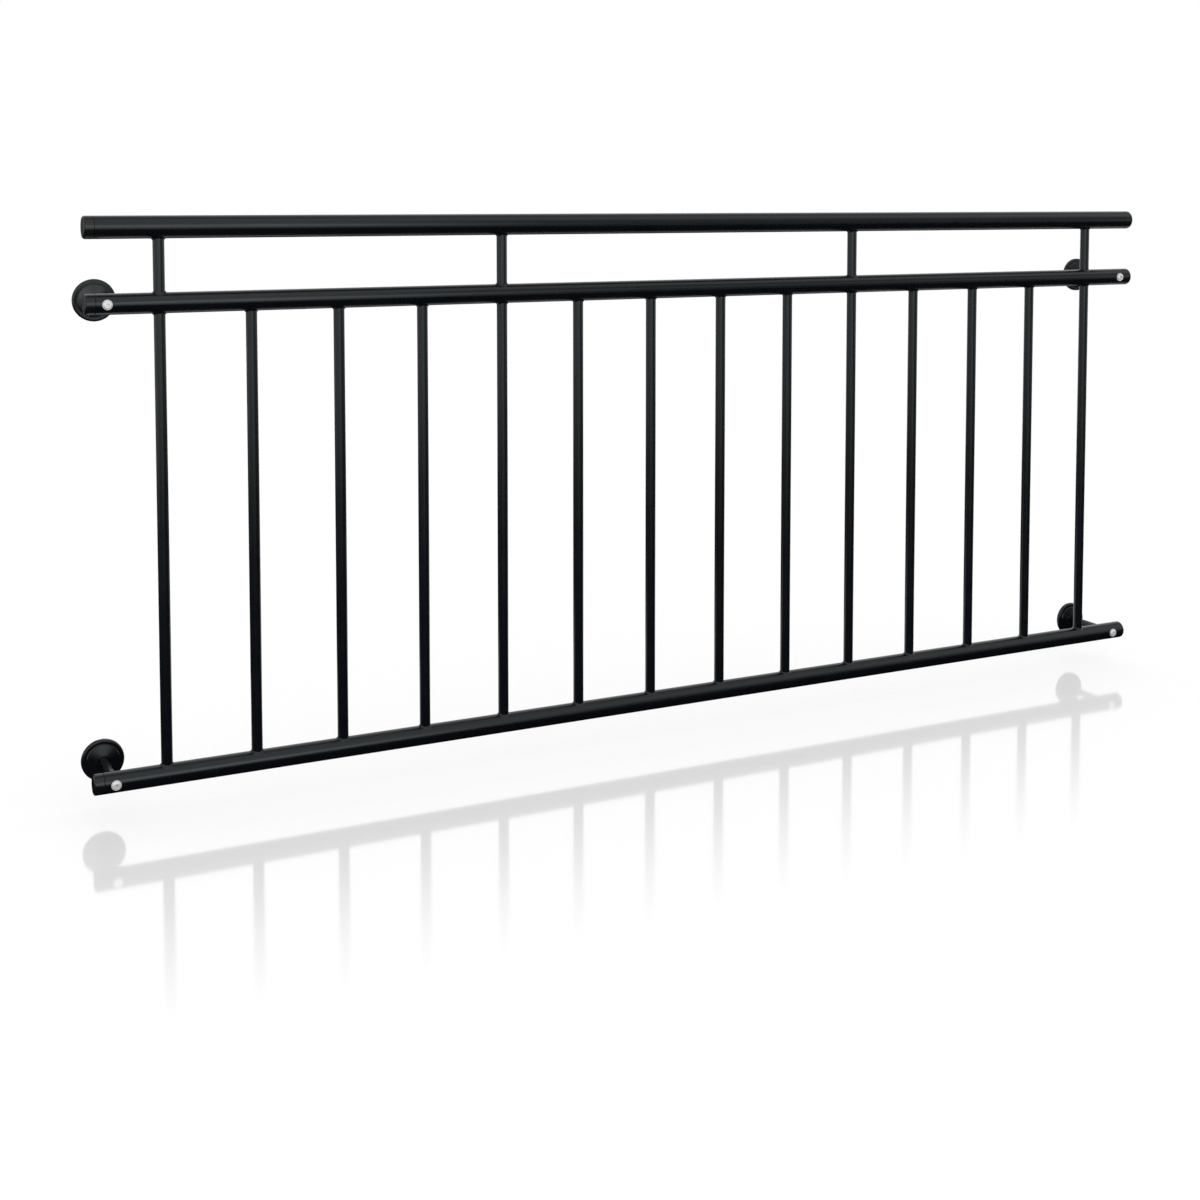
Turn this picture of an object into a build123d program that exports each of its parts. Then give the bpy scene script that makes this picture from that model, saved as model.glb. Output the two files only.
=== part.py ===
from build123d import *
import os

# Juliet balcony railing: three round rails, a row of upright bars and four wall brackets.
# +X runs along the rails, +Y points at the wall, +Z is up, and the wall's face is y = 0.
# The origin is the centre of the lower left wall plate's back face.

# Driving sizes, in millimetres
rail_length = 2100.0  # each rail, over its end caps
overall_height = 900.0  # underside of the lower rail to the top of the handrail
handrail_diameter = 36.0
rail_diameter = 33.0  # upper and lower rail
tube_wall = 2.0  # handrail and rails
hand_gap_pitch = 118.0  # handrail axis down to the upper rail's axis

side_bay_gap_count = 4  # gaps between bars from an end post to the next post of the handrail
middle_bay_gap_count = 5
end_overhang = 114.0  # rail end to the axis of the first bar
bar_diameter = 18.0
bar_wall = 1.5
bar_clearance = 0.15  # bar to the edge of its drilled seat

cap_thickness = 16.0  # the part of an end cap that shows
cap_edge_radius = 4.0
seam_chamfer = 0.5  # broken edge of cap and tube, which leaves a fine groove between them
cap_clearance = 0.15  # cap spigot to the tube's bore
cap_margin = 3.8  # inner end of the spigot to the screw hole
spigot_lead_in = 1.0

wall_distance = 115.0  # wall to the rails' axes
bracket_inset = 33.0  # rail end to the bracket's axis
stem_diameter = 14.0
saddle_lip = 3.0  # how far the stem flares out on each side where it cups the rail
saddle_flare = 16.0  # length of that flare
stem_clearance = 0.1  # stem's saddle to the rail

cover_diameter = 68.0
cover_wall = 1.5
cover_rim_radius = 3.0
cover_inside_radius = 1.5  # inside corner of the rim
cover_step_inset = 7.0  # rim to the foot of the raised face
cover_step = 1.5
cover_crown = 3.5  # rise of the coned face from its step to the stem
cover_collar = 2.5  # flat ring round the stem
cover_clearance = 0.2  # cover to the stem
cover_headroom = 0.5  # cover to the wall plate's front
plate_thickness = 5.0
plate_gap = 4.5  # wall plate's edge to the inside of the cover
plate_chamfer = 0.8
plate_hole_diameter = 8.5
plate_hole_count = 3

screw_diameter = 8.0
screw_clearance = 0.2  # screw to its holes in the rail
thread_clearance = 0.05  # screw to its hole in the stem
thread_engagement = 18.0
thread_relief = 4.0  # hole left beyond the screw's tip
screw_tip_chamfer = 1.0
head_diameter = 16.0
head_height = 5.0
head_edge = 1.2  # upright edge below the domed head
head_flat_diameter = 9.0
head_bulge = 0.7  # how far the dome swells past a straight cone
socket_width = 5.0  # across the flats
socket_depth = 2.4

# Derived places and sizes
handrail_radius = handrail_diameter / 2
rail_radius = rail_diameter / 2
bar_radius = bar_diameter / 2
stem_radius = stem_diameter / 2
screw_radius = screw_diameter / 2

lower_axis = 0.0
handrail_axis = overall_height - handrail_radius - rail_radius
upper_axis = handrail_axis - hand_gap_pitch
rail_y = -wall_distance
left_end = -bracket_inset
right_end = left_end + rail_length

bay_gaps = (side_bay_gap_count, middle_bay_gap_count, side_bay_gap_count)
bar_count = sum(bay_gaps) + 1
bar_pitch = (rail_length - 2 * end_overhang) / (bar_count - 1)
bar_places = [left_end + end_overhang + bar_pitch * i for i in range(bar_count)]
post_numbers = [sum(bay_gaps[:i]) for i in range(len(bay_gaps) + 1)]
post_places = [bar_places[i] for i in post_numbers]
baluster_places = [x for i, x in enumerate(bar_places) if i not in post_numbers]

tube_length = rail_length - 2 * cap_thickness
tube_start = left_end + cap_thickness
spigot_length = bracket_inset - cap_thickness - screw_radius - screw_clearance - cap_margin

plate_radius = cover_diameter / 2 - cover_wall - plate_gap
plate_hole_circle = stem_radius + plate_radius  # diameter: midway from the stem to the plate's edge
cover_shoulder = plate_thickness + cover_headroom + cover_wall

bracket_sides = {"left": 0.0, "right": rail_length - 2 * bracket_inset}
bracket_levels = {"lower": lower_axis, "upper": upper_axis}
low_end = (Align.CENTER, Align.CENTER, Align.MIN)
high_end = (Align.CENTER, Align.CENTER, Align.MAX)


def along_x(radius, length):
    """A round rod along +X from the origin."""
    return Rot(0, 90, 0) * Cylinder(radius, length, align=low_end)


def to_wall(radius, length):
    """A round rod along +Y from the origin."""
    return Rot(-90, 0, 0) * Cylinder(radius, length, align=low_end)


def plain_tube(diameter, axis_height):
    """A straight tube between its end caps."""
    outer = along_x(diameter / 2, tube_length)
    outer = chamfer(outer.edges().filter_by(GeomType.CIRCLE), seam_chamfer)
    bore = along_x(diameter / 2 - tube_wall, tube_length)
    return Pos(tube_start, rail_y, axis_height) * (outer - bore)


def seats(places, diameter, axis_height, align):
    """Drills for bars that enter a tube from below or from above and stop at its axis."""
    drill = Cylinder(bar_radius + bar_clearance, diameter, align=align)
    return [Pos(x, rail_y, axis_height) * drill for x in places]


def screw_holes(axis_height):
    """Drills for the two bracket screws that cross a rail."""
    drill = to_wall(screw_radius + screw_clearance, 2 * rail_diameter)
    return [Pos(x, rail_y - rail_diameter, axis_height) * drill for x in bracket_sides.values()]


def handrail():
    """The top tube, with the seats of the four posts in its underside."""
    return plain_tube(handrail_diameter, handrail_axis) - seats(
        post_places, handrail_diameter, handrail_axis, high_end
    )


def upper_rail():
    """The middle tube: every bar enters from below, and the posts leave through its top."""
    tube = plain_tube(rail_diameter, upper_axis)
    tube -= seats(bar_places, rail_diameter, upper_axis, high_end)
    tube -= seats(post_places, rail_diameter, upper_axis, low_end)
    return tube - screw_holes(upper_axis)


def lower_rail():
    """The bottom tube, with a seat for every bar in its top."""
    tube = plain_tube(rail_diameter, lower_axis)
    tube -= seats(bar_places, rail_diameter, lower_axis, low_end)
    return tube - screw_holes(lower_axis)


def bar(place, top):
    """A hollow upright bar from the lower rail's axis to the axis of the tube above."""
    length = top - lower_axis
    outer = Cylinder(bar_radius, length, align=low_end)
    bore = Cylinder(bar_radius - bar_wall, length, align=low_end)
    return Pos(place, rail_y, lower_axis) * (outer - bore)


def end_cap(diameter):
    """A cap that faces -X: a rounded disc at the origin's left, and a spigot that fills the bore."""
    disc = along_x(diameter / 2, cap_thickness)
    outer_edge = disc.edges().filter_by(GeomType.CIRCLE).sort_by(Axis.X)[0]
    disc = fillet(outer_edge, cap_edge_radius)
    seam_edge = disc.edges().filter_by(GeomType.CIRCLE).sort_by(Axis.X)[-1]
    disc = chamfer(seam_edge, seam_chamfer)
    spigot = along_x(diameter / 2 - tube_wall - cap_clearance, spigot_length)
    inner_edge = spigot.edges().filter_by(GeomType.CIRCLE).sort_by(Axis.X)[-1]
    spigot = chamfer(inner_edge, spigot_lead_in)
    return disc + Pos(cap_thickness, 0, 0) * spigot


def wall_plate():
    """A drilled disc with its back on the wall."""
    disc = Pos(0, -plate_thickness, 0) * to_wall(plate_radius, plate_thickness)
    front_edge = disc.edges().filter_by(GeomType.CIRCLE).sort_by(Axis.Y)[0]
    disc = chamfer(front_edge, plate_chamfer)
    drill = Pos(0, -2 * plate_thickness, 0) * to_wall(plate_hole_diameter / 2, 3 * plate_thickness)
    for i in range(plate_hole_count):
        turn = 360 / plate_hole_count * i
        disc -= Rot(0, turn, 0) * Pos(0, 0, plate_hole_circle / 2) * drill
    return disc


def bracket_stem():
    """A round stem from the wall plate to the rail, flared and cut to a saddle there, and tapped for the screw."""
    saddle_radius = stem_radius + saddle_lip
    seat_radius = rail_radius + stem_clearance
    flare_end = rail_y + seat_radius
    flare_start = flare_end + saddle_flare
    outline = [
        Line((0, -plate_thickness), (stem_radius, -plate_thickness)),
        Line((stem_radius, -plate_thickness), (stem_radius, flare_start)),
        TangentArc((stem_radius, flare_start), (saddle_radius, flare_end), tangent=(0, -1)),
        Line((saddle_radius, flare_end), (saddle_radius, rail_y)),
        Line((saddle_radius, rail_y), (0, rail_y)),
        Line((0, rail_y), (0, -plate_thickness)),
    ]
    stem = revolve(make_face(outline), Axis.Y)
    rail_seat = Pos(-2 * saddle_radius, rail_y, 0) * along_x(seat_radius, 4 * saddle_radius)
    tapped_depth = thread_engagement + thread_relief
    tapped = Pos(0, rail_y, 0) * to_wall(screw_radius + thread_clearance, seat_radius + tapped_depth)
    return stem - rail_seat - tapped


def cover_form(rim, shoulder, rim_radius):
    """The rosette's solid of revolution: rounded rim, flat ring, step and coned face up to a collar."""
    step_foot = rim - cover_step_inset
    collar = stem_radius + cover_collar
    step_top = shoulder + cover_step
    crown = step_top + cover_crown
    rim_start = (rim, rim_radius - shoulder)
    rim_end = (rim - rim_radius, -shoulder)
    outline = [
        Line((0, 0), (rim, 0)),
        Line((rim, 0), rim_start),
        RadiusArc(rim_start, rim_end, rim_radius),
        Line(rim_end, (step_foot, -shoulder)),
        Line((step_foot, -shoulder), (step_foot - cover_step, -step_top)),
        Line((step_foot - cover_step, -step_top), (collar, -crown)),
        Line((collar, -crown), (0, -crown)),
        Line((0, -crown), (0, 0)),
    ]
    return revolve(make_face(outline), Axis.Y)


def cover_rosette():
    """A spun cover of even wall that slides along the stem up to the wall."""
    inside_rim = cover_diameter / 2 - cover_wall
    outside = cover_form(cover_diameter / 2, cover_shoulder, cover_rim_radius)
    inside = cover_form(inside_rim, cover_shoulder - cover_wall, cover_inside_radius)
    stem_hole = Pos(0, -wall_distance, 0) * to_wall(stem_radius + cover_clearance, wall_distance)
    return outside - inside - stem_hole


def bracket_screw():
    """A domed socket screw along +Y, with the underside of its head at the origin."""
    head_radius = head_diameter / 2
    flat_radius = head_flat_diameter / 2
    shank = rail_diameter + stem_clearance + thread_engagement
    outline = [
        Line((0, shank), (screw_radius - screw_tip_chamfer, shank)),
        Line((screw_radius - screw_tip_chamfer, shank), (screw_radius, shank - screw_tip_chamfer)),
        Line((screw_radius, shank - screw_tip_chamfer), (screw_radius, 0)),
        Line((screw_radius, 0), (head_radius, 0)),
        Line((head_radius, 0), (head_radius, -head_edge)),
        SagittaArc((head_radius, -head_edge), (flat_radius, -head_height), head_bulge),
        Line((flat_radius, -head_height), (0, -head_height)),
        Line((0, -head_height), (0, shank)),
    ]
    screw = revolve(make_face(outline), Axis.Y)
    hexagon = RegularPolygon(socket_width / 2, 6, major_radius=False)
    socket = Pos(0, -head_height, 0) * Rot(-90, 0, 0) * extrude(hexagon, socket_depth)
    return screw - socket


def save(part, name):
    export_step(part, os.path.join("parts", name + ".step"))


os.makedirs("parts", exist_ok=True)

save(handrail(), "handrail")
save(upper_rail(), "upper_rail")
save(lower_rail(), "lower_rail")

for number, place in enumerate(post_places, start=1):
    save(bar(place, handrail_axis), f"post_{number}")
for number, place in enumerate(baluster_places, start=1):
    save(bar(place, upper_axis), f"baluster_{number:02d}")

capped_rails = {
    "handrail": (handrail_diameter, handrail_axis),
    "upper_rail": (rail_diameter, upper_axis),
    "lower_rail": (rail_diameter, lower_axis),
}
for rail, (diameter, axis_height) in capped_rails.items():
    cap = end_cap(diameter)
    save(Pos(left_end, rail_y, axis_height) * cap, f"{rail}_cap_left")
    save(Pos(right_end, rail_y, axis_height) * Rot(0, 0, 180) * cap, f"{rail}_cap_right")

for level, height in bracket_levels.items():
    for side, place in bracket_sides.items():
        at_wall = Pos(place, 0, height)
        at_rail_front = Pos(place, rail_y - rail_radius, height)
        save(at_wall * wall_plate(), f"wall_plate_{level}_{side}")
        save(at_wall * bracket_stem(), f"bracket_stem_{level}_{side}")
        save(at_wall * cover_rosette(), f"cover_rosette_{level}_{side}")
        save(at_rail_front * bracket_screw(), f"bracket_screw_{level}_{side}")
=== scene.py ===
import math

import bpy
import numpy as np
from bpy.props import FloatProperty, FloatVectorProperty, IntProperty, PointerProperty
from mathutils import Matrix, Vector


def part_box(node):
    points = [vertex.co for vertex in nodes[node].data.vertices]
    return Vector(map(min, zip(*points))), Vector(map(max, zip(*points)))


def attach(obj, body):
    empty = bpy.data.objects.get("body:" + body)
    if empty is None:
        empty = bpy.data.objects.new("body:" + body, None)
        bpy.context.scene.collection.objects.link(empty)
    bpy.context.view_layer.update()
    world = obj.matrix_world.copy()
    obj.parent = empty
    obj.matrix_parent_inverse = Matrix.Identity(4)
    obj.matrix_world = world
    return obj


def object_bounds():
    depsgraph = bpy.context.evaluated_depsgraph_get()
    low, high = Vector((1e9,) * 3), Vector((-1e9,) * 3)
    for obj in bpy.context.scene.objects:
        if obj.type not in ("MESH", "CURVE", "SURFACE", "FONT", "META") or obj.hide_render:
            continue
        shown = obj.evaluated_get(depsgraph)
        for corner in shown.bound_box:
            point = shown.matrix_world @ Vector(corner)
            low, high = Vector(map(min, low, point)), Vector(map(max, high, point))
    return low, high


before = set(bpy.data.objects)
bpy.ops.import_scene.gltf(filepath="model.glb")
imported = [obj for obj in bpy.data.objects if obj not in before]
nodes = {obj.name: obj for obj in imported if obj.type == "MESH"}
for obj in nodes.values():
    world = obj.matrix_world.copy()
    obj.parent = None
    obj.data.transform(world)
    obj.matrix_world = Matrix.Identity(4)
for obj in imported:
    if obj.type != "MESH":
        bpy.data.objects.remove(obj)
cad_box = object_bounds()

bl_info = {
    "name": "Juliet balcony railing",
    "version": (1, 0, 0),
    "blender": (4, 5, 0),
    "location": "3D View > Sidebar > Railing",
    "description": "Dresses a window railing: coated tubes, weld seams, end caps, steel screws and a studio",
    "category": "Object",
}

BODY = "root"
COAT_NAME = "black powder coat"
WHITE = (1.0, 1.0, 1.0)
BLACK = (0.0, 0.0, 0.0)
SHEET_QUAD = np.array([[0, 2, 3, 1]])
CARD_LIFT = 0.002

# Powder coat: widths in metres, shares of a mix, swings of the roughness
PATCH_WIDTH = 0.045
PATCH_DETAIL = 3.0
PATCH_SHARE = 0.6
PATCH_SWING = 0.10
GRAINS_PER_WAVE = 6
GRAIN_SWING = 0.06
PEEL_SHARE = 0.8

# End caps: a gain is the cloud's colour as a share of the plain one
CAP_CLOUD_WIDTH = 0.012
CAP_CLOUD_GAIN = 1.5
CAP_CLOUD_SWING = 0.12
CAP_GRAIN_WIDTH = 0.0006
CAP_GRAIN_DEPTH = 0.00002

# Screws, with their turning rings
STEEL_CLOUD_WIDTH = 0.0015
STEEL_CLOUD_GAIN = 0.82
STEEL_CLOUD_SWING = 0.16
RING_PITCH = 0.00055
RING_WOBBLE = 0.0003
RING_SWING = 0.06
RING_DEPTH = 0.000012

# Weld seams: points round a bar, points of the flank, and the share of the leg that lies inside the metal
WELD_TURNS = 56
WELD_STEPS = 9
WELD_SUNK = 0.2
SLOW_RIPPLES = 3
SLOW_PHASE = 2
PHASE_PER_METRE = 40

rail_names = ("handrail", "upper_rail", "lower_rail")
bar_names = sorted(name for name in nodes if name.startswith(("post_", "baluster_")))
screw_names = sorted(name for name in nodes if name.startswith("bracket_screw_"))
cap_names = sorted(name for name in nodes if "_cap_" in name)


# Sizes read from the frame

def middle(name):
    """The centre of a node's box."""
    low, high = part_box(name)
    return (low + high) / 2


def tube(name):
    """The axis point and the radius of a tube that runs along X."""
    low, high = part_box(name)
    return (low + high) / 2, (high.z - low.z) / 2


def upright_radius(name):
    """The radius of an upright bar."""
    low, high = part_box(name)
    return (high.x - low.x) / 2


def bar_joints(rail_name):
    """(x, way) for each bar that leaves a rail, with way +1 for upwards and -1 for downwards."""
    axis, radius = tube(rail_name)
    joints = []
    for name in bar_names:
        low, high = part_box(name)
        place = (low.x + high.x) / 2
        meets = low.z < axis.z + radius and high.z > axis.z - radius
        if meets and high.z > axis.z + radius:
            joints.append((place, 1))
        if meets and low.z < axis.z - radius:
            joints.append((place, -1))
    return joints


# Settings that a user would change

class RailingFinishes(bpy.types.PropertyGroup):
    """Colours and surface qualities of the railing."""

    coat_colour: FloatVectorProperty(
        name="Coat", description="Colour of the powder coat", subtype="COLOR",
        default=(0.0009, 0.0016, 0.0030))
    coat_pale: FloatVectorProperty(
        name="Coat, thin places", description="Colour where the powder lies thinner", subtype="COLOR",
        default=(0.0020, 0.0028, 0.0042))
    coat_shine: FloatVectorProperty(
        name="Coat shine", description="Tint of the coat's reflections", subtype="COLOR",
        default=(0.90, 0.98, 1.0))
    coat_index: FloatProperty(
        name="Coat index", description="Refractive index of the coat, which sets how clearly it mirrors",
        default=1.45)
    coat_roughness: FloatProperty(
        name="Coat roughness", description="Mean roughness of the powder coat", subtype="FACTOR",
        default=0.24)
    peel_size: FloatProperty(
        name="Orange peel", description="Width of the waves that the melted powder leaves", unit="LENGTH",
        default=0.0022, precision=5)
    peel_depth: FloatProperty(
        name="Orange peel depth", description="Height of those waves", unit="LENGTH",
        default=0.00003, precision=6)
    cap_colour: FloatVectorProperty(
        name="Caps", description="Colour of the moulded end caps", subtype="COLOR",
        default=(0.0020, 0.0023, 0.0026))
    cap_shine: FloatVectorProperty(
        name="Cap shine", description="Tint of the caps' reflections", subtype="COLOR",
        default=(0.97, 1.0, 0.98))
    cap_roughness: FloatProperty(
        name="Cap roughness", description="Mean roughness of the end caps", subtype="FACTOR", default=0.25)
    steel_colour: FloatVectorProperty(
        name="Screws", description="Colour of the stainless screws", subtype="COLOR",
        default=(0.74, 0.74, 0.73))
    steel_sheen: FloatProperty(
        name="Screw sheen", description="0 is a matt grey, 1 bare metal", subtype="FACTOR", default=0.5)
    steel_roughness: FloatProperty(
        name="Screw roughness", description="Mean roughness of the screw heads", subtype="FACTOR",
        default=0.40)


class RailingSeams(bpy.types.PropertyGroup):
    """Sizes of the coated weld seams."""

    weld_leg: FloatProperty(
        name="Weld leg", description="Reach of a weld along the bar and along the rail", unit="LENGTH",
        default=0.0024, precision=5)
    weld_fullness: FloatProperty(
        name="Weld fullness", description="0 is a hollow seam, 1 a straight flank", subtype="FACTOR",
        default=0.7)
    weld_ripple: FloatProperty(
        name="Weld ripple", description="Share by which the seam swells and shrinks", subtype="FACTOR",
        default=0.10)
    weld_ripple_count: IntProperty(
        name="Ripples", description="Ripples round one bar", default=17)


class RailingStage(bpy.types.PropertyGroup):
    """Camera, floor and light."""

    camera_place: FloatVectorProperty(
        name="Camera", description="Place of the lens", subtype="XYZ", unit="LENGTH",
        default=(-0.413, -2.686, 0.908))
    camera_yaw: FloatProperty(
        name="Turn", description="Turn to the right, from square on", subtype="ANGLE",
        default=math.radians(26.05))
    camera_pitch: FloatProperty(
        name="Tilt", description="Tilt down, from level", subtype="ANGLE", default=math.radians(3.535))
    camera_lens: FloatProperty(
        name="Lens", description="Focal length on a 36 mm sensor", subtype="DISTANCE_CAMERA", default=48.84)
    camera_shift: FloatProperty(
        name="Shift", description="Lens shift that keeps the bars upright", default=-0.25)
    floor_drop: FloatProperty(
        name="Floor", description="Lower rail's axis to the floor", unit="LENGTH", default=0.077)
    floor_reach: FloatProperty(
        name="Floor reach", description="Half the floor's width", unit="LENGTH", default=90.0)
    floor_roughness: FloatProperty(
        name="Floor polish", description="Roughness of the floor's mirror image", subtype="FACTOR",
        default=0.08)
    floor_glow: FloatProperty(
        name="Floor fill", description="Share of the floor's white that no shadow reaches",
        subtype="FACTOR", default=0.6)
    floor_mirror: FloatProperty(
        name="Floor mirror", description="Strength of the polished strip's mirror image", subtype="FACTOR",
        default=0.28)
    strip_clear: FloatProperty(
        name="Strip", description="Reach of the floor's polished strip before the lower rail",
        unit="LENGTH", default=0.16)
    strip_end: FloatProperty(
        name="Strip end", description="Reach at which its polish has faded out", unit="LENGTH",
        default=0.74)
    strip_back: FloatProperty(
        name="Strip back", description="Reach of its polish behind the lower rail", unit="LENGTH",
        default=0.12)
    strip_side: FloatProperty(
        name="Strip sides", description="Reach of its polish past the rails' ends", unit="LENGTH",
        default=0.35)
    card_front: FloatProperty(
        name="Card, front", description="Reach of the black cards before the rails", unit="LENGTH",
        default=3.4)
    card_back: FloatProperty(
        name="Card, back", description="Reach of the black cards behind the rails", unit="LENGTH",
        default=3.2)
    card_left: FloatProperty(
        name="Card, left", description="Reach of the black cards past the left end", unit="LENGTH",
        default=3.0)
    card_right: FloatProperty(
        name="Card, right", description="Reach of the black cards past the right end", unit="LENGTH",
        default=7.0)
    card_gap_start: FloatProperty(
        name="Card gap, start", description="Rails to the near edge of the pale strip behind them",
        unit="LENGTH", default=0.2)
    card_gap_end: FloatProperty(
        name="Card gap, end", description="Rails to the far edge of that strip", unit="LENGTH", default=0.7)
    screen_front: FloatProperty(
        name="Screen", description="Rails to the grey screen before them", unit="LENGTH", default=3.9)
    screen_left: FloatProperty(
        name="Screen, left edge", description="Left ends of the rails to the screen's left edge",
        unit="LENGTH", default=1.4)
    screen_width: FloatProperty(
        name="Screen, width", description="Width of the screen", unit="LENGTH", default=5.2)
    screen_fade: FloatProperty(
        name="Screen, fade", description="Width over which the screen's sides fade out", unit="LENGTH",
        default=1.3)
    screen_foot: FloatProperty(
        name="Screen, foot", description="Height over which the screen fades in above the floor",
        unit="LENGTH", default=0.1)
    screen_height: FloatProperty(
        name="Screen, height", description="Height of the screen, which is white at its top", unit="LENGTH",
        default=3.4)
    screen_level: FloatProperty(
        name="Screen, level", description="Brightness of the screen at its foot", subtype="FACTOR",
        default=0.02)
    net_front: FloatProperty(
        name="Net", description="Rails to the black net that shades the handrail", unit="LENGTH",
        default=0.4)
    net_left: FloatProperty(
        name="Net, left edge", description="Left ends of the rails to the net's left edge", unit="LENGTH",
        default=0.4)
    net_width: FloatProperty(
        name="Net, width", description="Width of the net", unit="LENGTH", default=3.0)
    net_fade: FloatProperty(
        name="Net, side fade", description="Width over which the net's sides fade out", unit="LENGTH",
        default=0.6)
    net_foot: FloatProperty(
        name="Net, foot", description="Handrail's axis up to the net's foot", unit="LENGTH", default=0.045)
    net_height: FloatProperty(
        name="Net, height", description="Height of the net", unit="LENGTH", default=0.54)
    net_foot_fade: FloatProperty(
        name="Net, foot fade", description="Height over which the net's foot fades in", unit="LENGTH",
        default=0.08)
    net_top_fade: FloatProperty(
        name="Net, top fade", description="Height over which the net's top fades out", unit="LENGTH",
        default=0.42)
    net_share: FloatProperty(
        name="Net, share", description="Share of the light that the net holds back", subtype="FACTOR",
        default=0.65)
    top_height: FloatProperty(
        name="Top flag", description="Floor to the grey flag overhead", unit="LENGTH", default=4.2)
    top_front: FloatProperty(
        name="Top flag, front", description="Reach of the flag overhead before the rails", unit="LENGTH",
        default=0.4)
    top_back: FloatProperty(
        name="Top flag, back", description="Reach of the flag overhead behind the rails", unit="LENGTH",
        default=2.2)
    top_side: FloatProperty(
        name="Top flag, sides", description="Reach of the flag overhead past the rails' ends",
        unit="LENGTH", default=5.0)
    top_level: FloatProperty(
        name="Top flag, level", description="Brightness of the flag overhead", subtype="FACTOR",
        default=0.48)
    flag_back: FloatProperty(
        name="End flag", description="Wall to the dark flag that the rails' left ends mirror",
        unit="LENGTH", default=2.0)
    flag_width: FloatProperty(
        name="End flag, width", description="Width of that flag", unit="LENGTH", default=1.6)
    flag_height: FloatProperty(
        name="End flag, height", description="Height of that flag", unit="LENGTH", default=1.7)
    flag_level: FloatProperty(
        name="End flag, level", description="Brightness of that flag", subtype="FACTOR", default=0.10)
    softbox_level: FloatProperty(
        name="Softbox", description="Brightness of the softbox, where the white room has 1", default=1.3)
    softbox_width: FloatProperty(
        name="Softbox, width", description="Width of the softbox", unit="LENGTH", default=8.0)
    softbox_height: FloatProperty(
        name="Softbox, height", description="Height of the softbox", unit="LENGTH", default=2.0)
    softbox_place: FloatVectorProperty(
        name="Softbox, place", description="Middle of the softbox", subtype="XYZ", unit="LENGTH",
        default=(0.5, -5.5, 1.8))
    softbox_tilt: FloatProperty(
        name="Softbox, tilt", description="Tilt from facing straight down", subtype="ANGLE",
        default=math.radians(80))


# Shader values and nodes

class Value:
    """A number in a shader: arithmetic on it adds Math nodes."""

    def __init__(self, tree, socket):
        self.tree = tree
        self.socket = socket

    def math(self, operation, first, second=0.0):
        node = self.tree.nodes.new("ShaderNodeMath")
        node.operation = operation
        feed(self.tree, node.inputs[0], first)
        feed(self.tree, node.inputs[1], second)
        return Value(self.tree, node.outputs[0])

    def __add__(self, other):
        return self.math("ADD", self, other)

    def __radd__(self, other):
        return self.math("ADD", other, self)

    def __sub__(self, other):
        return self.math("SUBTRACT", self, other)

    def __rsub__(self, other):
        return self.math("SUBTRACT", other, self)

    def __mul__(self, other):
        return self.math("MULTIPLY", self, other)

    def __rmul__(self, other):
        return self.math("MULTIPLY", other, self)

    def __truediv__(self, other):
        return self.math("DIVIDE", self, other)

    def __rtruediv__(self, other):
        return self.math("DIVIDE", other, self)

    def __pow__(self, other):
        return self.math("POWER", self, other)

    def __rpow__(self, other):
        return self.math("POWER", other, self)

    def absolute(self):
        return self.math("ABSOLUTE", self)

    def sine(self):
        return self.math("SINE", self)

    def nearest(self):
        return self.math("ROUND", self)


def feed(tree, socket, value):
    """Links a shader value to a socket, or sets a plain number or colour on it."""
    if isinstance(value, Value):
        tree.links.new(value.socket, socket)
    elif socket.type == "RGBA" and len(value) == 3:
        socket.default_value = (*value, 1.0)
    else:
        socket.default_value = value


def pick(sockets, key):
    """The socket with that identifier or name."""
    return next(socket for socket in sockets if key in (socket.identifier, socket.name))


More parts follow.
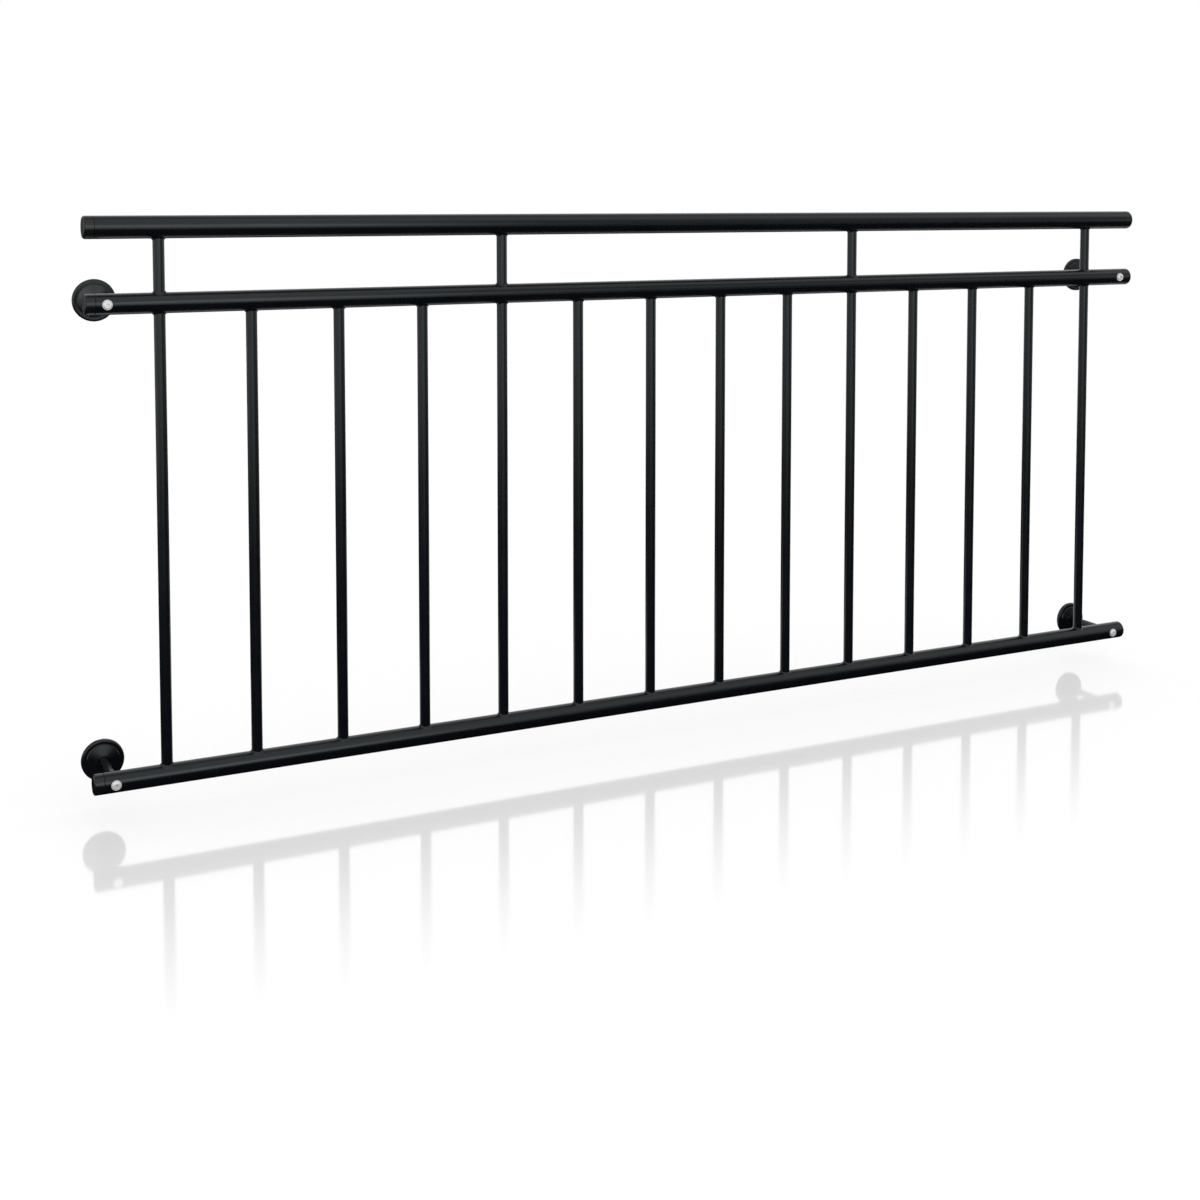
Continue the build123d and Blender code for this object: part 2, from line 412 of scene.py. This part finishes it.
class Finish:
    """A material in the making."""

    def __init__(self, name):
        self.material = bpy.data.materials.new(name)
        self.material.use_nodes = True
        self.tree = self.material.node_tree
        self.tree.nodes.clear()

    def node(self, kind, settings, sockets, output=None):
        """Adds a node: its settings first, then its sockets. Gives the named output, or the first."""
        node = self.tree.nodes.new(kind)
        for key, value in settings.items():
            setattr(node, key, value)
        for key, value in sockets.items():
            feed(self.tree, pick(node.inputs, key), value)
        first = next(iter(node.outputs), None)
        return Value(self.tree, pick(node.outputs, output) if output else first)

    def places(self):
        """Object coordinates, in metres."""
        return self.node("ShaderNodeTexCoord", {}, {}, "Object")

    def place(self, axis):
        """One of the object coordinates."""
        return self.node("ShaderNodeSeparateXYZ", {}, {"Vector": self.places()}, axis)

    def ease(self, value, none_at, full_at):
        """A share that swings softly from 0 to 1 between two values."""
        return self.node(
            "ShaderNodeMapRange", {"interpolation_type": "SMOOTHSTEP"},
            {"Value": value, "From Min": none_at, "From Max": full_at})

    def span(self, value, start, end, start_fade, end_fade):
        """A share that is 1 inside a span and fades out softly towards its start and its end."""
        return self.ease(value, start, start + start_fade) * self.ease(value, end, end - end_fade)

    def noise(self, width, detail=2.0):
        """A cloudy value from 0 to 1, with blobs of about that width."""
        return self.node(
            "ShaderNodeTexNoise", {}, {"Vector": self.places(), "Scale": 1 / width, "Detail": detail}, "Fac")

    def blend(self, share, first, second):
        """A colour between two colours."""
        return self.node(
            "ShaderNodeMix", {"data_type": "RGBA"},
            {"Factor_Float": share, "A_Color": first, "B_Color": second}, "Result_Color")

    def bump(self, height, distance):
        """A normal from a height of 0 to 1 that stands for that distance."""
        return self.node("ShaderNodeBump", {}, {"Height": height, "Distance": distance})

    def glow(self, colour):
        """A shader that shows that colour whatever the light."""
        return self.node("ShaderNodeEmission", {}, {"Color": colour, "Strength": 1.0})

    def clear(self):
        """A shader that lets all light through."""
        return self.node("ShaderNodeBsdfTransparent", {}, {})

    def mix(self, share, first, second):
        """Two shaders laid over each other."""
        return self.node("ShaderNodeMixShader", {}, {"Fac": share, "Shader": first, "Shader_001": second})

    def done(self, shader):
        """Ends the material with that shader as its surface."""
        self.node("ShaderNodeOutputMaterial", {}, {"Surface": shader})
        return self.material


def swing(value, reach):
    """A value of 0 to 1 as a swing about 0, of that reach from end to end."""
    return (value - 0.5) * reach


def grey(level):
    """A neutral colour of that brightness."""
    return (level, level, level)


# Finishes of the railing

def coat_finish(look):
    """Black powder coat: orange-peel waves, fine grain, and patches where the powder lies thinner."""
    make = Finish(COAT_NAME)
    patches = make.noise(PATCH_WIDTH, PATCH_DETAIL)
    peel = make.noise(look.peel_size)
    grain = make.noise(look.peel_size / GRAINS_PER_WAVE)
    thinness = patches * PATCH_SHARE + grain * (1 - PATCH_SHARE)
    colour = make.blend(thinness, look.coat_colour, look.coat_pale)
    roughness = look.coat_roughness + swing(patches, PATCH_SWING) + swing(grain, GRAIN_SWING)
    waves = peel * PEEL_SHARE + grain * (1 - PEEL_SHARE)
    return make.done(make.node("ShaderNodeBsdfPrincipled", {}, {
        "Base Color": colour, "Roughness": roughness, "IOR": look.coat_index,
        "Specular Tint": look.coat_shine, "Normal": make.bump(waves, look.peel_depth)}))


def cap_finish(look):
    """Moulded black plastic: a fine matt grain with a few smoother clouds."""
    make = Finish("moulded black plastic")
    clouds = make.noise(CAP_CLOUD_WIDTH)
    grain = make.noise(CAP_GRAIN_WIDTH)
    cloud_colour = [part * CAP_CLOUD_GAIN for part in look.cap_colour]
    colour = make.blend(clouds, look.cap_colour, cloud_colour)
    roughness = look.cap_roughness + swing(clouds, CAP_CLOUD_SWING)
    return make.done(make.node("ShaderNodeBsdfPrincipled", {}, {
        "Base Color": colour, "Roughness": roughness, "IOR": look.coat_index,
        "Specular Tint": look.cap_shine, "Normal": make.bump(grain, CAP_GRAIN_DEPTH)}))


def screw_finish(look):
    """Stainless steel with fine turning rings round each screw's own axis."""
    make = Finish("stainless steel")
    low = np.min([middle(name) for name in screw_names], axis=0)
    high = np.max([middle(name) for name in screw_names], axis=0)
    across = make.place("X")
    upright = make.place("Z")
    span_x = float(high[0] - low[0])
    span_z = float(high[2] - low[2])
    from_axis_x = across - (across / span_x).nearest() * span_x
    from_axis_z = upright - (upright / span_z).nearest() * span_z
    radius = (from_axis_x ** 2.0 + from_axis_z ** 2.0) ** 0.5
    clouds = make.noise(STEEL_CLOUD_WIDTH)
    rings = ((radius + clouds * RING_WOBBLE) * (2 * math.pi / RING_PITCH)).sine() * 0.5 + 0.5
    cloud_colour = [part * STEEL_CLOUD_GAIN for part in look.steel_colour]
    colour = make.blend(clouds, look.steel_colour, cloud_colour)
    roughness = look.steel_roughness + swing(clouds, STEEL_CLOUD_SWING) + swing(rings, RING_SWING)
    return make.done(make.node("ShaderNodeBsdfPrincipled", {}, {
        "Base Color": colour, "Metallic": look.steel_sheen, "Roughness": roughness,
        "Normal": make.bump(rings, RING_DEPTH)}))


# Finishes of the stage

def floor_finish(stage):
    """A pale floor: white paper that takes a soft shadow, polished in a strip before the railing."""
    make = Finish("pale floor")
    paper = make.node("ShaderNodeBsdfDiffuse", {}, {"Color": WHITE})
    fill = make.glow(WHITE)
    mirror = make.node("ShaderNodeBsdfGlossy", {}, {"Color": WHITE, "Roughness": stage.floor_roughness})
    axis = tube("lower_rail")[0]
    past_ends = (make.place("X") - axis.x).absolute() - (cad_box[1].x - cad_box[0].x) / 2
    before = axis.y - make.place("Y")
    lengthways = make.ease(past_ends, stage.strip_side, 0.0)
    strip = lengthways * make.ease(before, stage.strip_end, stage.strip_clear)
    polish = strip * make.ease(before, -stage.strip_back, 0.0) * stage.floor_mirror
    return make.done(make.mix(polish, make.mix(stage.floor_glow, paper, fill), mirror))


def floor_card_finish():
    """Black card, clear from below so that the floor still mirrors the railing."""
    make = Finish("black card")
    below = make.node("ShaderNodeNewGeometry", {}, {}, "Backfacing")
    return make.done(make.mix(below, make.glow(BLACK), make.clear()))


def screen_finish(stage, left, right, foot, top):
    """Grey screen, white at its top, whose sides and foot fade out."""
    make = Finish("grey screen")
    across = make.place("X")
    upright = make.place("Z")
    sides = make.span(across, left, right, stage.screen_fade, stage.screen_fade)
    share = sides * make.ease(upright, foot, foot + stage.screen_foot)
    colour = make.blend(make.ease(upright, foot, top), grey(stage.screen_level), WHITE)
    return make.done(make.mix(share, make.clear(), make.glow(colour)))


def net_finish(stage, left, right, foot, top):
    """Fine black net that thins out towards its edges."""
    make = Finish("black net")
    across = make.place("X")
    upright = make.place("Z")
    sides = make.span(across, left, right, stage.net_fade, stage.net_fade)
    ends = make.span(upright, foot, top, stage.net_foot_fade, stage.net_top_fade)
    return make.done(make.mix(sides * ends * stage.net_share, make.clear(), make.glow(BLACK)))


def flag_finish(name, level):
    """A plain grey card."""
    make = Finish(name)
    return make.done(make.glow(grey(level)))


# Surfaces

def weld_rings(tube_radius, bar_radius, leg, fullness, ripple, ripple_count, phases):
    """Closed rings in the corner between a tube and the round bars that stand on it, one for each phase.

    At turn t round a bar of radius r, and p out from its side, the tube's skin lies
    sqrt(R^2 - ((r + p) sin t)^2) from the tube's axis, and a point of the ring lies q above that skin.
    p and q follow a line between a quarter circle and a straight flank, times a leg that swells and
    shrinks with a quick and a slow sine of t, and three more points close the section inside the metal.
    The result has axes (ring, turn, section point, place along the tube, across it, and out along the bar).
    """
    turn = np.linspace(0, 2 * np.pi, WELD_TURNS, endpoint=False)[None, :, None]
    phase = np.asarray(phases, float)[:, None, None]
    bend = np.linspace(0, np.pi / 2, WELD_STEPS)
    hollow = np.array((1 - np.cos(bend), 1 - np.sin(bend)))
    flank = np.array((bend, np.pi / 2 - bend)) / (np.pi / 2)
    outline = hollow + fullness * (flank - hollow)
    inside = np.array(((1, -WELD_SUNK, -WELD_SUNK), (-WELD_SUNK, -WELD_SUNK, 1)))
    section = np.concatenate((outline, inside), axis=1)[:, None, None, :]
    quick = np.sin(ripple_count * turn + phase)
    slow = np.sin(SLOW_RIPPLES * turn + SLOW_PHASE * phase)
    swell = 1 + ripple * (quick + slow)
    out_from_bar = leg * swell * section[0]
    above_tube = leg * swell * section[1]
    along = (bar_radius + out_from_bar) * np.cos(turn)
    across = (bar_radius + out_from_bar) * np.sin(turn)
    out = np.sqrt(tube_radius ** 2 - across ** 2) + above_tube
    return np.stack((along, across, out), axis=-1)


def stand_rings(rings, feet, outs):
    """Puts each ring on its foot: its first axis along X, its last along the way the bar leaves."""
    out = np.asarray(outs, float)
    along = np.broadcast_to((1.0, 0.0, 0.0), out.shape)
    axes = np.stack((along, np.cross(out, along), out), axis=1)
    return np.einsum("rtsk,rkx->rtsx", rings, axes) + np.asarray(feet, float)[:, None, None, :]


def ring_quads(shape):
    """Corners of the quads of closed rings, which join up both round the turn and round the section."""
    count = np.arange(np.prod(shape)).reshape(shape)
    ahead = np.roll(count, -1, axis=1)
    corners = (count, np.roll(count, -1, axis=2), np.roll(ahead, -1, axis=2), ahead)
    return np.stack(corners, axis=-1).reshape(-1, 4)


def sheet_points(corner, first_side, second_side):
    """A flat sheet: the corner plus u times one side and v times the other, with u and v of 0 and 1."""
    u, v = np.meshgrid((0.0, 1.0), (0.0, 1.0), indexing="ij")
    return np.asarray(corner) + u[..., None] * np.asarray(first_side) + v[..., None] * np.asarray(second_side)


def new_mesh(name, points, quads, finish):
    """Links a smooth-shaded mesh object at the origin."""
    mesh = bpy.data.meshes.new(name)
    mesh.from_pydata(points.reshape(-1, 3).tolist(), [], quads.tolist())
    mesh.shade_smooth()
    mesh.materials.append(finish)
    made = bpy.data.objects.new(name, mesh)
    bpy.context.scene.collection.objects.link(made)
    return made


def new_piece(name, points, quads, finish):
    """A mesh that belongs to the railing."""
    piece = new_mesh(name, points, quads, finish)
    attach(piece, BODY)
    return piece


def dress(names, finish):
    """Gives CAD nodes a finish."""
    for name in names:
        for slot in nodes[name].material_slots:
            slot.material = finish


def coat():
    """The powder coat, made once."""
    found = bpy.data.materials.get(COAT_NAME)
    return found or coat_finish(bpy.context.scene.railing_finishes)


# Operators

class RAILING_OT_coat_steel(bpy.types.Operator):
    """Powder coat on the rails, bars, stems, wall plates and rosettes"""

    bl_idname = "railing.coat_steel"
    bl_label = "Coat the steel"

    def execute(self, context):
        dress(sorted(set(nodes) - set(screw_names) - set(cap_names)), coat())
        return {"FINISHED"}


class RAILING_OT_finish_caps(bpy.types.Operator):
    """Moulded plastic on the six end caps"""

    bl_idname = "railing.finish_caps"
    bl_label = "Finish the end caps"

    def execute(self, context):
        dress(cap_names, cap_finish(context.scene.railing_finishes))
        return {"FINISHED"}


class RAILING_OT_finish_screws(bpy.types.Operator):
    """Turned stainless steel on the four bracket screws"""

    bl_idname = "railing.finish_screws"
    bl_label = "Finish the screws"

    def execute(self, context):
        dress(screw_names, screw_finish(context.scene.railing_finishes))
        return {"FINISHED"}


class RAILING_OT_lay_welds(bpy.types.Operator):
    """Coated weld seams where the bars meet the rails"""

    bl_idname = "railing.lay_welds"
    bl_label = "Lay the weld seams"

    def execute(self, context):
        seams = context.scene.railing_seams
        for rail_name in rail_names:
            axis, radius = tube(rail_name)
            joints = bar_joints(rail_name)
            if not joints:
                raise RuntimeError(f"no bar meets {rail_name}")
            feet = [(place, axis.y, axis.z) for place, way in joints]
            outs = [(0, 0, way) for place, way in joints]
            phases = [place * PHASE_PER_METRE + way for place, way in joints]
            rings = weld_rings(radius, upright_radius(bar_names[0]), seams.weld_leg, seams.weld_fullness,
                               seams.weld_ripple, seams.weld_ripple_count, phases)
            points = stand_rings(rings, feet, outs)
            new_piece(f"{rail_name}_welds", points, ring_quads(points.shape[:3]), coat())
        return {"FINISHED"}


class RAILING_OT_set_stage(bpy.types.Operator):
    """Pale floor, cards, white room, softbox and camera"""

    bl_idname = "railing.set_stage"
    bl_label = "Set the stage"

    def execute(self, context):
        stage = context.scene.railing_stage
        level = tube("lower_rail")[0].z - stage.floor_drop
        self.lay_floor(stage, level)
        self.lay_floor_cards(stage, level + CARD_LIFT)
        self.set_screen(stage, level)
        self.hang_net(stage)
        self.hang_flags(stage, level)
        self.light(context.scene, stage)
        self.place_camera(context.scene, stage)
        context.scene.view_settings.view_transform = "Standard"
        return {"FINISHED"}

    def lay_floor(self, stage, level):
        """A wide floor under the railing."""
        reach = stage.floor_reach
        points = sheet_points((-reach, -reach, level), (2 * reach, 0, 0), (0, 2 * reach, 0))
        new_mesh("floor", points, SHEET_QUAD, floor_finish(stage))

    def lay_floor_cards(self, stage, level):
        """Black cards on the floor, with a pale strip left between them."""
        axis = tube("lower_rail")[0]
        left, right = cad_box[0].x - stage.card_left, cad_box[1].x + stage.card_right
        gap_start, gap_end = axis.y + stage.card_gap_start, axis.y + stage.card_gap_end
        spans = {
            "front_card": (left, right, axis.y - stage.card_front, gap_start),
            "back_card": (left, right, gap_end, axis.y + stage.card_back),
            "left_card": (left, cad_box[0].x, gap_start, gap_end),
        }
        black = floor_card_finish()
        for name, (start, end, near, far) in spans.items():
            points = sheet_points((start, near, level), (end - start, 0, 0), (0, far - near, 0))
            self.card(name, points, black)

    def set_screen(self, stage, level):
        """The grey screen that stands before the railing."""
        left = cad_box[0].x + stage.screen_left
        right = left + stage.screen_width
        top = level + stage.screen_height
        corner = (left, tube("lower_rail")[0].y - stage.screen_front, level)
        points = sheet_points(corner, (0, 0, stage.screen_height), (stage.screen_width, 0, 0))
        self.card("grey_screen", points, screen_finish(stage, left, right, level, top))

    def hang_net(self, stage):
        """The black net that hangs before the handrail and above it."""
        axis = tube("handrail")[0]
        left, foot = cad_box[0].x + stage.net_left, axis.z + stage.net_foot
        corner = (left, axis.y - stage.net_front, foot)
        points = sheet_points(corner, (0, 0, stage.net_height), (stage.net_width, 0, 0))
        finish = net_finish(stage, left, left + stage.net_width, foot, foot + stage.net_height)
        self.card("black_net", points, finish)

    def hang_flags(self, stage, level):
        """The dark flag behind the left end and the grey one overhead."""
        end_corner = (cad_box[0].x - stage.flag_width, cad_box[1].y + stage.flag_back, level)
        end_points = sheet_points(end_corner, (stage.flag_width, 0, 0), (0, 0, stage.flag_height))
        self.card("end_flag", end_points, flag_finish("end flag", stage.flag_level))
        axis = tube("handrail")[0]
        top_corner = (cad_box[0].x - stage.top_side, axis.y - stage.top_front, level + stage.top_height)
        width = cad_box[1].x - cad_box[0].x + 2 * stage.top_side
        top_points = sheet_points(top_corner, (0, stage.top_front + stage.top_back, 0), (width, 0, 0))
        self.card("top_flag", top_points, flag_finish("top flag", stage.top_level))

    def card(self, name, points, finish):
        """A card that only reflections show."""
        card = new_mesh(name, points, SHEET_QUAD, finish)
        card.visible_camera = False
        card.visible_diffuse = False
        card.visible_transmission = False
        card.visible_shadow = False

    def light(self, scene, stage):
        """A white room with one softbox."""
        world = bpy.data.worlds.new("white room")
        world.use_nodes = True
        world.node_tree.nodes["Background"].inputs["Color"].default_value = (*WHITE, 1.0)
        scene.world = world
        lamp = bpy.data.lights.new("softbox", "AREA")
        lamp.shape = "RECTANGLE"
        lamp.size = stage.softbox_width
        lamp.size_y = stage.softbox_height
        lamp.energy = stage.softbox_level * math.pi * stage.softbox_width * stage.softbox_height
        softbox = bpy.data.objects.new("softbox", lamp)
        softbox.location = stage.softbox_place
        softbox.rotation_euler = (stage.softbox_tilt, 0, 0)
        scene.collection.objects.link(softbox)

    def place_camera(self, scene, stage):
        """The camera, turned and tilted from square on."""
        lens = bpy.data.cameras.new("camera")
        lens.lens = stage.camera_lens
        lens.shift_y = stage.camera_shift
        camera = bpy.data.objects.new("camera", lens)
        camera.location = stage.camera_place
        camera.rotation_euler = (math.pi / 2 - stage.camera_pitch, 0, -stage.camera_yaw)
        scene.collection.objects.link(camera)
        scene.camera = camera


class RAILING_PT_sidebar(bpy.types.Panel):
    """The railing's settings and steps"""

    bl_label = "Juliet balcony railing"
    bl_space_type = "VIEW_3D"
    bl_region_type = "UI"
    bl_category = "Railing"

    def draw(self, context):
        scene = context.scene
        for group in (scene.railing_finishes, scene.railing_seams, scene.railing_stage):
            box = self.layout.box()
            for name in group.__annotations__:
                box.prop(group, name)
        for step in steps:
            self.layout.operator(step.bl_idname)


groups = (RailingFinishes, RailingSeams, RailingStage)
steps = (RAILING_OT_coat_steel, RAILING_OT_finish_caps, RAILING_OT_finish_screws, RAILING_OT_lay_welds,
         RAILING_OT_set_stage)
classes = (*groups, *steps, RAILING_PT_sidebar)


def register():
    for cls in classes:
        bpy.utils.register_class(cls)
    bpy.types.Scene.railing_finishes = PointerProperty(type=RailingFinishes)
    bpy.types.Scene.railing_seams = PointerProperty(type=RailingSeams)
    bpy.types.Scene.railing_stage = PointerProperty(type=RailingStage)


def unregister():
    del bpy.types.Scene.railing_finishes
    del bpy.types.Scene.railing_seams
    del bpy.types.Scene.railing_stage
    for cls in reversed(classes):
        bpy.utils.unregister_class(cls)


def main():
    register()
    bpy.ops.railing.coat_steel()
    bpy.ops.railing.finish_caps()
    bpy.ops.railing.finish_screws()
    bpy.ops.railing.lay_welds()
    bpy.ops.railing.set_stage()


if __name__ == "__main__":
    main()
